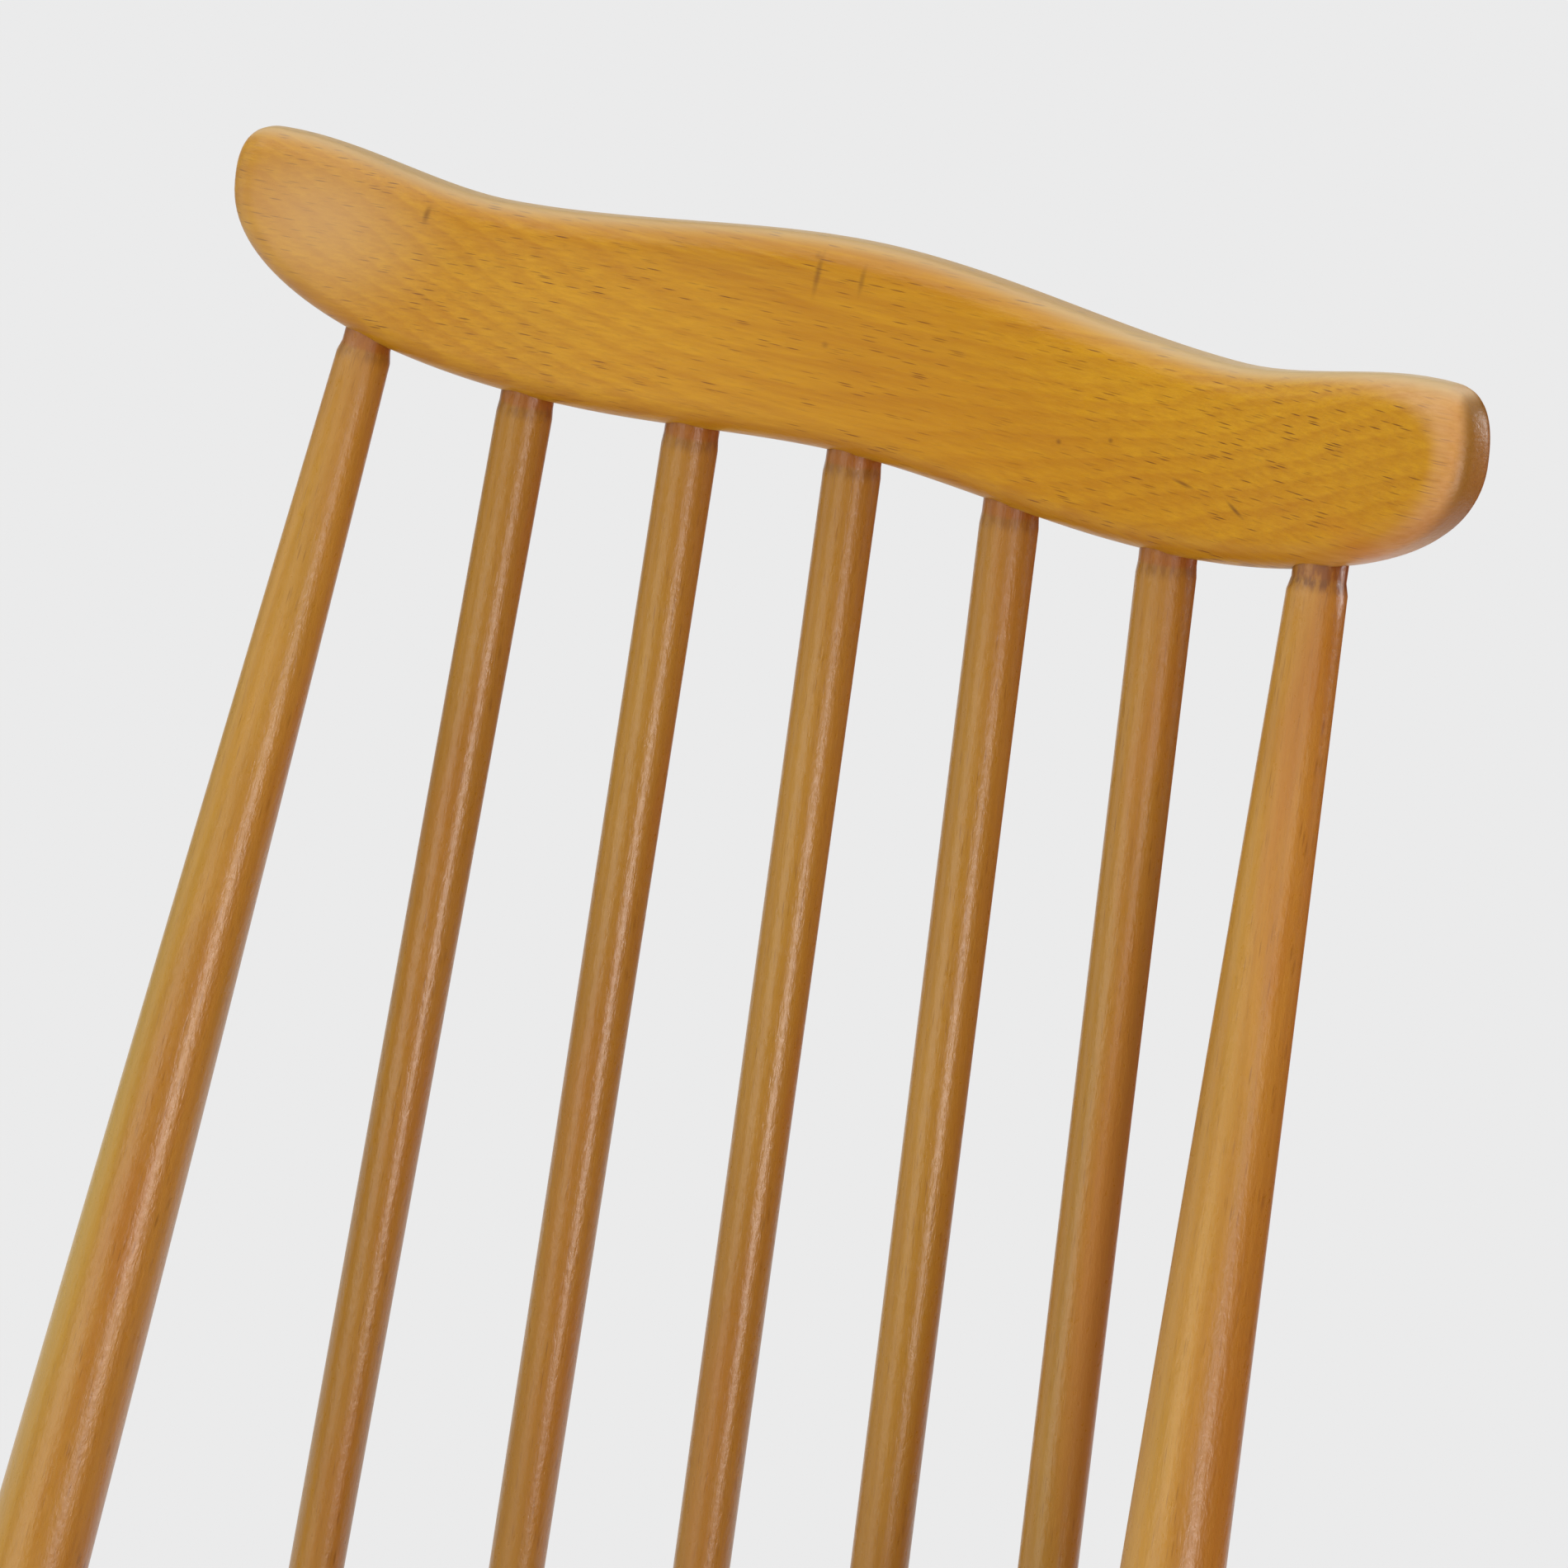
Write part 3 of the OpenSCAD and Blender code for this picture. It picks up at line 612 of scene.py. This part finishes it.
side_pieces = {}
for side, side_name in ((LEFT, "left"), (RIGHT, "right")):
    a, b = side_end(side, FRONT), side_end(side, BACK)
    mesh = stretcher(a, b, side_end_d, side_swell_d, side_socket)
    bar = object_from(mesh, "beech_side_stretcher_" + side_name)
    bar.data.materials.append(beech(bar.name, along(a, b), 51.0 * side, leg_deep, leg_pale))
    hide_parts("side_stretcher_" + side_name)
    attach(bar, "root")
    side_pieces[side] = bar
    for end in (FRONT, BACK):
        place = along(side_end(side, end), side_end(side, -end))
        bit = drill(side_end_d + 2 * glue_gap, -socket_air, side_socket + past, place)
        cut(leg_pieces[side, end], [bit, leg_kerfs[side, end]])

# Cross stretcher: a thinner turned bar of beech between the middles of the side stretchers,
# glued into a blind socket in each.
cross_swell_d, cross_end_d, cross_socket = 0.022, 0.013, 0.014


def cross_end(side):
    """End of the cross stretcher's centre line, inside a side stretcher."""
    middle = leg_at(side, FRONT, stretcher_h).lerp(leg_at(side, BACK, stretcher_h), 0.5)
    return middle - side * Vector((side_swell_d / 2 - cross_socket, 0, 0))


a, b = cross_end(LEFT), cross_end(RIGHT)
cross = object_from(stretcher(a, b, cross_end_d, cross_swell_d, cross_socket), "beech_cross_stretcher")
cross.data.materials.append(beech(cross.name, along(a, b), 211.0, leg_deep, leg_pale))
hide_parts("cross_stretcher")
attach(cross, "root")
for side in (LEFT, RIGHT):
    place = along(cross_end(side), cross_end(-side))
    cut(side_pieces[side], [drill(cross_end_d + 2 * glue_gap, -socket_air, cross_socket + past, place)])

# Comb: one board of beech, curved round the sitter's shoulders and leaning back. It is shaped to
# a crown, two dips and two ears, thinned upwards from behind and rounded all round. Seven blind
# holes in its lower edge take the posts and sticks, and are bored once these have their places.
comb_h, back_rake = 0.907, radians(14)
comb_w, comb_t, comb_top_t, comb_radius = 0.362, 0.022, 0.016, 0.535
crown_rise, dip_rise, dip_x = 0.0561, 0.048, 0.107
ear_rise, ear_inset, tip_drop, ear_square = 0.0571, 0.011, 0.016, 2.5
arch_rise, belly_drop, belly_x, heel_square = 0.0019, 0.0021, 0.079, 2.15
comb_front_round, comb_rear_round = 0.008, 0.007
end_roll, roll_from = 0.0028, 0.132
stick_inset = 0.024
comb_y = seat_high.y - stick_inset + (comb_h - seat_h) * tan(back_rake)
ear_x = comb_w / 2 - ear_inset
tip_rise = ear_rise - tip_drop
heel_run = comb_w / 2 - belly_x
comb_frame = Matrix.Translation((0, comb_y, comb_h)) @ Matrix.Rotation(-back_rake, 4, "X")
body_steps, ear_steps = 42, 18
quarter = body_steps + ear_steps
belly_share = 0.36
comb_cap_rings, comb_round_rings = 8, 8


def on_comb(across, up, forward):
    """Place in the flat comb as across, up and forward, bent round the comb's curve and leaning."""
    turn = asin(across / comb_radius)
    out = comb_radius - forward
    return comb_frame @ Vector((out * sin(turn), out * cos(turn) - comb_radius, up))


def ease(t):
    """S-curve from 0 to 1, level at both ends."""
    return t * t * (3 - 2 * t)


def half_width(y, a, b, square):
    """Half width of a superellipse with half axes a and b at distance y from its widest line."""
    return a * (1 - (abs(y) / b) ** square) ** (1 / square)


def comb_top(x):
    """Height of the comb's upper edge at distance x from its middle."""
    if x < dip_x:
        return crown_rise + (dip_rise - crown_rise) * ease(x / dip_x)
    return dip_rise + (ear_rise - dip_rise) * ease((x - dip_x) / (ear_x - dip_x))


def comb_under(x):
    """Height of the comb's lower edge at distance x from its middle."""
    if x < belly_x:
        return arch_rise - (belly_drop + arch_rise) * ease(x / belly_x)
    return tip_rise - half_width(x - belly_x, tip_rise + belly_drop, heel_run, heel_square)


def comb_outline(station):
    """Point of the flat outline at a station, from the crown by the right tip and round."""
    station %= 4 * quarter
    mirrored = station > 2 * quarter
    if mirrored:
        station = 4 * quarter - station
    under_share = (2 * quarter - station) / quarter
    if station <= body_steps:
        x = ear_x * station / body_steps
        y = comb_top(x)
    elif station <= quarter:
        turn = pi / 2 * (station - body_steps) / ear_steps
        x = ear_x + ear_inset * sin(turn) ** (2 / ear_square)
        y = tip_rise + tip_drop * max(0, cos(turn)) ** (2 / ear_square)
    elif under_share < belly_share:
        x = belly_x * under_share / belly_share
        y = comb_under(x)
    else:
        turn = pi / 2 * (under_share - belly_share) / (1 - belly_share)
        x = belly_x + heel_run * sin(turn) ** (2 / heel_square)
        y = tip_rise - (tip_rise + belly_drop) * max(0, cos(turn)) ** (2 / heel_square)
    return Vector((-x if mirrored else x, y))


def inset_point(station, inset):
    """Point of the outline at a station, moved in from the edge."""
    ahead = (comb_outline(station + 1) - comb_outline(station - 1)).normalized()
    return comb_outline(station) + inset * Vector((ahead.y, -ahead.x))


def comb_ring(inward, in_share, out_share, depth_share):
    """Ring of the comb: so far in to the outline's middle line, in from the edge by a share of the
    front's radius and one of the rear's, and so far back, up to 1 in the front's rounding and
    from 2 to 3 in the rear's."""
    def place(vert):
        station = round(vert[station_layer])
        across = (2 * quarter - station) % (4 * quarter)
        inset = comb_front_round * in_share + comb_rear_round * out_share
        own, partner = (inset_point(at, inset) for at in (station, across))
        flat = own.lerp(partner, inward / 2)
        thick = comb_t + (comb_top_t - comb_t) * max(0, flat.y) / crown_rise
        if depth_share <= 1:
            rolled = end_roll * (max(0, abs(flat.x) - roll_from) / (comb_w / 2 - roll_from)) ** 2
            depth = comb_front_round * depth_share + rolled
        else:
            depth = comb_t - comb_rear_round * (3 - depth_share)
        return on_comb(flat.x, flat.y, comb_t / 2 - depth * thick / comb_t)
    return place


mesh = bmesh.new()
station_layer = mesh.verts.layers.float.new("station")
bmesh.ops.create_circle(mesh, segments=4 * quarter, radius=1)
for station, vert in enumerate(mesh.verts):
    vert[station_layer] = station
comb_rings = [comb_ring(1 - k / comb_cap_rings, 1, 0, 0) for k in range(comb_cap_rings)]
comb_rings += [comb_ring(0, 1 - out, 0, down) for out, down in rounding(comb_round_rings)]
comb_rings += [comb_ring(0, 0, down, 2 + out) for out, down in rounding(comb_round_rings)]
comb_rings += [comb_ring((k + 1) / comb_cap_rings, 0, 1, 3) for k in range(comb_cap_rings)]
for vert in mesh.verts:
    vert.co = comb_rings[0](vert)
rim = mesh.edges[:]
for ring in comb_rings[1:]:
    rim = grow(mesh, rim, ring)
bmesh.ops.remove_doubles(mesh, verts=mesh.verts, dist=1e-6)
bmesh.ops.recalc_face_normals(mesh, faces=mesh.faces)
comb = object_from(mesh, "beech_comb")
comb_deep, comb_pale = tone(175, 117, 5), tone(205, 154, 18)
# Painted light: a pale sheen, a pinkish highlight, and a pale sheen on the top edge
painted_sheen, painted_highlight_blush, painted_top_sheen = tone(210, 174, 122), tone(208, 162, 114), tone(208, 184, 142)
# Painted light too: olive is painted dark reflection and shade, rust painted shade on the lower edge
amber, honey, painted_dark_olive = tone(158, 108, 30), tone(178, 116, 6), tone(136, 98, 30)
flame, painted_under_shade, soot = tone(180, 92, 28), tone(158, 86, 26), tone(92, 50, 12)
# The large pale and dark places come first, and then the small dents and dark spots
comb_marks_and_painted_light = (
    # A painted sheen, pale over the left end
    (36, -152, 42, 32, 0, 0.5, painted_sheen),
    (8, 164, 30, 8, 0.6, 0.3, flame),
    (8, -168, 26, 12, -0.7, 0.5, amber),
    (20, 20, 110, 50, 0, 0.35, honey),
    # A painted dark reflection along the top edge at the left
    (53, -130, 34, 5, 0.18, 0.5, painted_dark_olive),
    (46.5, -11.4, 1.3, 8, 0.1, 0.5, soot),
    (51.2, -12.3, 1.4, 1.6, 0.1, 0.25, soot),
    (47.4, 1.5, 1.2, 5.6, 0.1, 0.4, soot),
    (42, -123, 1.3, 3.4, 0.2, 0.55, soot),
    (29.4, -6.6, 1.5, 1.3, 0, 0.35, soot),
    (19.8, 65, 1.2, 1.1, 0, 0.55, soot),
    (23.4, 80, 1.1, 1, 0, 0.55, soot),
    (18, 103, 4.6, 0.7, 0.15, 0.65, soot),
    (15.4, 119, 4.2, 0.8, 0.5, 0.7, soot),
    (57.5, 173, 2.6, 2.6, 0, 0.5, flame),
)
# A painted highlight: a pinkish band on the rounding of the right end
comb_painted_highlight_rims = [(31.2, 146, 29, 18.6, -0.44, 0.55, painted_highlight_blush)]
comb_up, comb_down, comb_right = (
    comb_frame.to_3x3() @ Vector(way) for way in ((0, 0, 1), (0, 0, -1), (1, 0, 0))
)
# Painted light by the way the surface faces: a pale sheen on the top edge, a dark olive band of painted
# shade on the right end's rounding, and darker painted shade on the lower edge
comb_painted_light_by_facing = (
    (comb_up, 1, 0.6, 0.7, painted_top_sheen),
    (comb_right, 0.8, 0.45, 0.85, painted_dark_olive),
    (comb_down, 0.6, 0.3, 0.2, painted_under_shade),
)
grain_along_x = comb_frame @ Matrix.Rotation(radians(90), 4, "Y")
comb.data.materials.append(beech(
    "comb_finish", grain_along_x, 400.0, comb_deep, comb_pale, lean=-0.55, bands=0.17, figure=0.7,
    satin=0.26, flecks=1, gloss=0.3, aged=0.15, painted_by_facing=comb_painted_light_by_facing, painted_rims=comb_painted_highlight_rims, marks=comb_marks_and_painted_light,
))
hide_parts("comb")
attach(comb, "root")

# Posts: two, turned in beech, thickest low down and slim at the comb. Each is driven through the
# seat and wedged from below, and its bevelled upper tenon is glued into the comb.
post_top_x, post_forward, post_inset, post_setback = 0.1415, 0.001, 0.0285, 0.125
post_top_d, post_swell_d, post_swell_run = 0.0144, 0.0304, 0.385
post_tenon_d, post_comb_socket, post_foot_d = 0.0132, 0.014, 0.021
post_fullness = 1.15
nose_lead = 0.0028
post_steps = 60


def post_top(side):
    return on_comb(side * post_top_x, comb_under(post_top_x), post_forward)


def post_foot(side):
    y = seat_high.y - post_setback
    edge_x = half_width(y - seat_wide_y, seat_half_w, seat_back_d, seat_back_square)
    return Vector((side * (edge_x - post_inset), y, seat_h))


def post_radius(s, tall):
    """Radius of a post at distance s down from the comb."""
    if s < post_swell_run:
        return (post_swell_d + (post_top_d - post_swell_d) * (1 - s / post_swell_run) ** post_fullness) / 2
    share = (s - post_swell_run) / (tall - post_swell_run)
    return (post_swell_d + (post_foot_d - post_swell_d) * share ** leg_fullness) / 2


post_deep, post_pale = tone(163, 112, 32), tone(199, 151, 62)
# How far below the comb the chafed collar ends, in millimetres, its share and the nose's
post_worn = {LEFT: (4.2, 0.4, 0.6), RIGHT: (3.2, 0.75, 0.3)}
# Painted light on the posts: a paler olive-gold strip on the left post's lit left side, and a darker strip
# of painted shade on the right post's right side
post_painted_sides = {
    LEFT: [(8, 270, 190, 13, 0, 0.65, tone(182, 148, 52))],
    RIGHT: [(-9, 300, 130, 9, 0, 0.5, tone(140, 88, 30))],
}
comb_bits = []
for side, side_name in ((LEFT, "left"), (RIGHT, "right")):
    foot, top = post_foot(side), post_top(side)
    place = along(foot, top)
    long = (top - foot).length
    from_s, to_s = long - tenon_show, nose_lead + nose_run
    profile = [(post_foot_d / 2, -seat_t - past)]
    for k in range(post_steps + 1):
        s = from_s + (to_s - from_s) * k / post_steps
        profile.append((post_radius(s, from_s), long - s))
    profile += [(post_tenon_d / 2, long - nose_lead), (post_tenon_d / 2, long + post_comb_socket)]
    mesh = turned(profile, place)
    sawn(mesh, (0, 0, seat_h - seat_t), (0, 0, -1))
    post = object_from(mesh, "beech_post_" + side_name)
    direction = (top - foot).normalized()
    post_end = foot - direction * seat_t / direction.z
    upside_down = Matrix.Scale(-1, 4, (0, 0, 1))
    cut(post, [kerf(post_foot_d, along(post_end, top) @ upside_down)])
    below, chafed, stained = post_worn[side]
    post.data.materials.append(beech(
        post.name, place, 90.0 * side, post_deep, post_pale, lean=0.5 * side, aged=0.45,
        worn=(1000 * long - below, chafed, stained), marks=post_painted_sides[side],
    ))
    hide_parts("back_post_" + side_name)
    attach(post, "root")
    seat_bits.append(drill(post_foot_d + 2 * glue_gap, -seat_t - past, past, place))
    socket_end = long + post_comb_socket + socket_air
    comb_bits.append(drill(post_tenon_d + 2 * glue_gap, long - past, socket_end, place))

# Post wedges: a slip of darker beech in the lower end of each post, driven in from below and
# trimmed level with the seat's underside. Their shapes are the frame's own.
for side, side_name in ((LEFT, "left"), (RIGHT, "right")):
    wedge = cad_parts["post_wedge_" + side_name]
    wedge.data.materials.clear()
    wedge.data.materials.append(end_grain("wedge_post_" + side_name, seed=31.0 * side))

# Sticks: five thin beech rods, tapered up to the comb and glued into blind holes at both ends.
# With their places known, the comb and the seat boards are bored for all that meets them.
stick_gap_top, stick_gap_foot = 0.048, 0.061
stick_top_d, stick_foot_d, stick_tenon_d = 0.015, 0.0157, 0.0144
stick_comb_socket, stick_seat_socket = 0.020, 0.024
stick_deep, stick_pale = tone(148, 101, 26), tone(181, 135, 50)
stick_worn = (3.4, 0.45, 0.6)
# A painted highlight: a paler strip on the outer right stick's right side
stick_painted_highlight = {2: [(-5, 300, 130, 6, 0, 0.6, tone(206, 140, 70))]}
stick_names = {-2: "outer_left", -1: "inner_left", 0: "middle", 1: "inner_right", 2: "outer_right"}
for i, stick_name in stick_names.items():
    x = i * stick_gap_foot
    edge_y = seat_wide_y + half_width(x, seat_back_d, seat_half_w, seat_back_square)
    foot = Vector((x, edge_y - stick_inset, seat_h))
    top = on_comb(i * stick_gap_top, comb_under(abs(i) * stick_gap_top), 0)
    long = (top - foot).length
    place = along(foot, top)
    profile = [
        (stick_foot_d / 2, -stick_seat_socket),
        (stick_foot_d / 2, 0),
        (stick_top_d / 2, long - nose_lead - nose_run),
        (stick_tenon_d / 2, long - nose_lead),
        (stick_tenon_d / 2, long + stick_comb_socket),
    ]
    stick = object_from(turned(profile, place), "beech_stick_" + stick_name)
    below, chafed, stained = stick_worn
    stick.data.materials.append(beech(
        stick.name, place, 70.0 * i, stick_deep, stick_pale, lean=0.3 * i, bands=0.05,
        worn=(1000 * long - below, chafed, stained), marks=stick_painted_highlight.get(i, ()),
    ))
    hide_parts("back_stick_" + stick_name)
    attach(stick, "root")
    seat_bits.append(drill(stick_foot_d + 2 * glue_gap, -stick_seat_socket - socket_air, past, place))
    socket_end = long + stick_comb_socket + socket_air
    comb_bits.append(drill(stick_tenon_d + 2 * glue_gap, long - past, socket_end, place))

cut(comb, comb_bits)
for name, board in seat_boards.items():
    low, high = (corner.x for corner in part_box(name))
    own_bits = [bit for bit in seat_bits if low < sum(v.co.x for v in bit.verts) / len(bit.verts) < high]
    seat_bits = [bit for bit in seat_bits if bit not in own_bits]
    cut(board, own_bits)

# Floor: a pale matt studio floor under the chair. It fades away half a metre to a metre from
# the middle, so that no line shows between it and the surround.
floor_reach = 4
floor_grey = (0.82, 0.82, 0.822, 1)
fade_from, fade_to = 0.45, 0.95


def matt(name, colour, gloss=0.0, roughness=0.5):
    """A plain matt finish for the studio, and its shader."""
    finish = bpy.data.materials.new(name)
    finish.use_nodes = True
    shader = finish.node_tree.nodes["Principled BSDF"]
    shader.inputs["Base Color"].default_value = colour
    shader.inputs["Specular IOR Level"].default_value = gloss
    shader.inputs["Roughness"].default_value = roughness
    return finish, shader


floor_mesh = bmesh.new()
bmesh.ops.create_grid(floor_mesh, x_segments=1, y_segments=1, size=floor_reach)
floor = object_from(floor_mesh, "studio_floor")
floor_finish, floor_shader = matt("studio_floor", floor_grey, gloss=0.2, roughness=0.7)
floor_tree = floor_finish.node_tree
floor_spot = Reading(floor_tree, floor_tree.nodes.new("ShaderNodeTexCoord").outputs["Object"])
gone = floor_spot.length().step(fade_from, fade_to)
clear = gone.node("BsdfTransparent")
faded = gone.node("MixShader", inputs={0: gone, 1: Reading(floor_tree, floor_shader.outputs[0]), 2: clear})
floor_tree.links.new(faded.socket, floor_tree.nodes["Material Output"].inputs["Surface"])
floor.data.materials.append(floor_finish)

# Surround: an even pale light from all round, of nearly the floor's colour. It is also what
# shows behind the chair.
surround_pale = (0.83, 0.83, 0.832, 1)
studio = bpy.data.worlds.new("studio")
bpy.context.scene.world = studio
studio.use_nodes = True
background = studio.node_tree.nodes["Background"]
background.inputs["Color"].default_value = surround_pale
background.inputs["Strength"].default_value = 1


# Cards: upright sheets round the chair, out of the camera's sight. They show in the lacquer as
# the dark and the wooden things of a room do, and some also keep light off the chair.
def card(name, a, b, low, high, colour, shades=True):
    """A card between two points of the floor and two heights."""
    mesh = bmesh.new()
    ends = [mesh.verts.new((x, y, low)) for x, y in (a, b)]
    grow(mesh, [mesh.edges.new(ends)], lambda vert: vert.co + Vector((0, 0, high - low)))
    sheet = object_from(mesh, name)
    sheet.visible_camera = False
    sheet.visible_diffuse = sheet.visible_shadow = shades
    finish, _ = matt(name, colour)
    sheet.data.materials.append(finish)


card_black, card_grey = (0.03, 0.028, 0.025, 1), (0.3, 0.3, 0.3, 1)
card_brown, card_olive = (0.36, 0.08, 0.025, 1), (0.1, 0.085, 0.03, 1)
card("card_right", (0.95, -0.2), (0.95, 0.85), 0, 1.3, card_brown)
card("card_right_back", (0.95, 0.85), (0.5, 1.2), 0, 1.3, card_brown)
card("card_back", (0.5, 1.2), (-0.3, 1.6), 0, 1.3, card_brown, shades=False)
card("card_behind", (-0.2, 1.6), (-1.6, 1.3), 0.95, 2.1, card_olive, shades=False)
card("card_left", (-0.75, -1.35), (-1.25, -0.85), 0.3, 1.75, card_black)
card("card_far_left", (-1.55, -0.1), (-1.6, 0.9), 0.3, 1.3, card_grey)
card("card_front", (0.0, -1.95), (1.3, -1.35), 0.2, 1.35, card_black)


# Lamps: soft boxes aimed at the back of the chair from the left, the front, the right and
# behind, and a broad weak light from overhead.
def softbox(name, place, aim, width, height, power, colour, lights=True, shows=True):
    """A square-cornered lamp, which may light the wood, show in its lacquer, or both."""
    lamp = bpy.data.lights.new(name, "AREA")
    lamp.shape = "RECTANGLE"
    lamp.size, lamp.size_y = width, height
    lamp.energy = power
    lamp.color = colour
    lamp.spread = radians(180 if shows else 90)
    stand = bpy.data.objects.new(name, lamp)
    bpy.context.scene.collection.objects.link(stand)
    stand.visible_diffuse = lights
    stand.visible_glossy = shows
    stand.location = place
    stand.rotation_euler = (Vector(aim) - Vector(place)).to_track_quat("-Z", "Y").to_euler()


back_middle, comb_end = (0, 0.17, 0.8), (0.17, 0.37, 0.96)
softbox("key_softbox", (-1.2, -1.05, 2.3), back_middle, 1.2, 1.2, 7, (0.99, 1, 0.95))
softbox("front_softbox", (-0.35, -1.0, 0.82), (0, 0.17, 0.82), 0.8, 0.5, 1.6, (0.97, 1, 0.88))
softbox("right_softbox", (1.15, -0.58, 0.56), (0, 0.17, 0.6), 0.24, 0.5, 4.6, (1, 0.88, 0.82), lights=False)
softbox("right_fill", (1.02, -0.5, 0.92), back_middle, 0.5, 0.8, 1.2, (1, 0.64, 0.52), shows=False)
softbox("rear_strip", (0.86, 0.88, 1.0), comb_end, 0.05, 0.4, 3.4, (1, 1, 1), lights=False)
overhead = bpy.data.lights.new("overhead", "SUN")
overhead.energy = 0.7
overhead.angle = radians(60)
overhead_stand = bpy.data.objects.new("overhead", overhead)
bpy.context.scene.collection.objects.link(overhead_stand)
overhead_stand.rotation_euler = (radians(20), radians(-10), 0)

# Camera: a long lens in front of the chair, to its right and above it, where the photograph was
# taken from. Its place was solved from the seven posts and sticks.
camera = bpy.data.cameras.new("camera")
camera.sensor_width = 36
camera.lens = 103.356
camera.clip_end = 60
eye = bpy.data.objects.new("camera", camera)
bpy.context.scene.collection.objects.link(eye)
eye.location = (0.559188, -0.673628, 1.353355)
eye.rotation_euler = (radians(63.172), 0, radians(32.571))
bpy.context.scene.camera = eye
bpy.context.scene.view_settings.view_transform = "Standard"
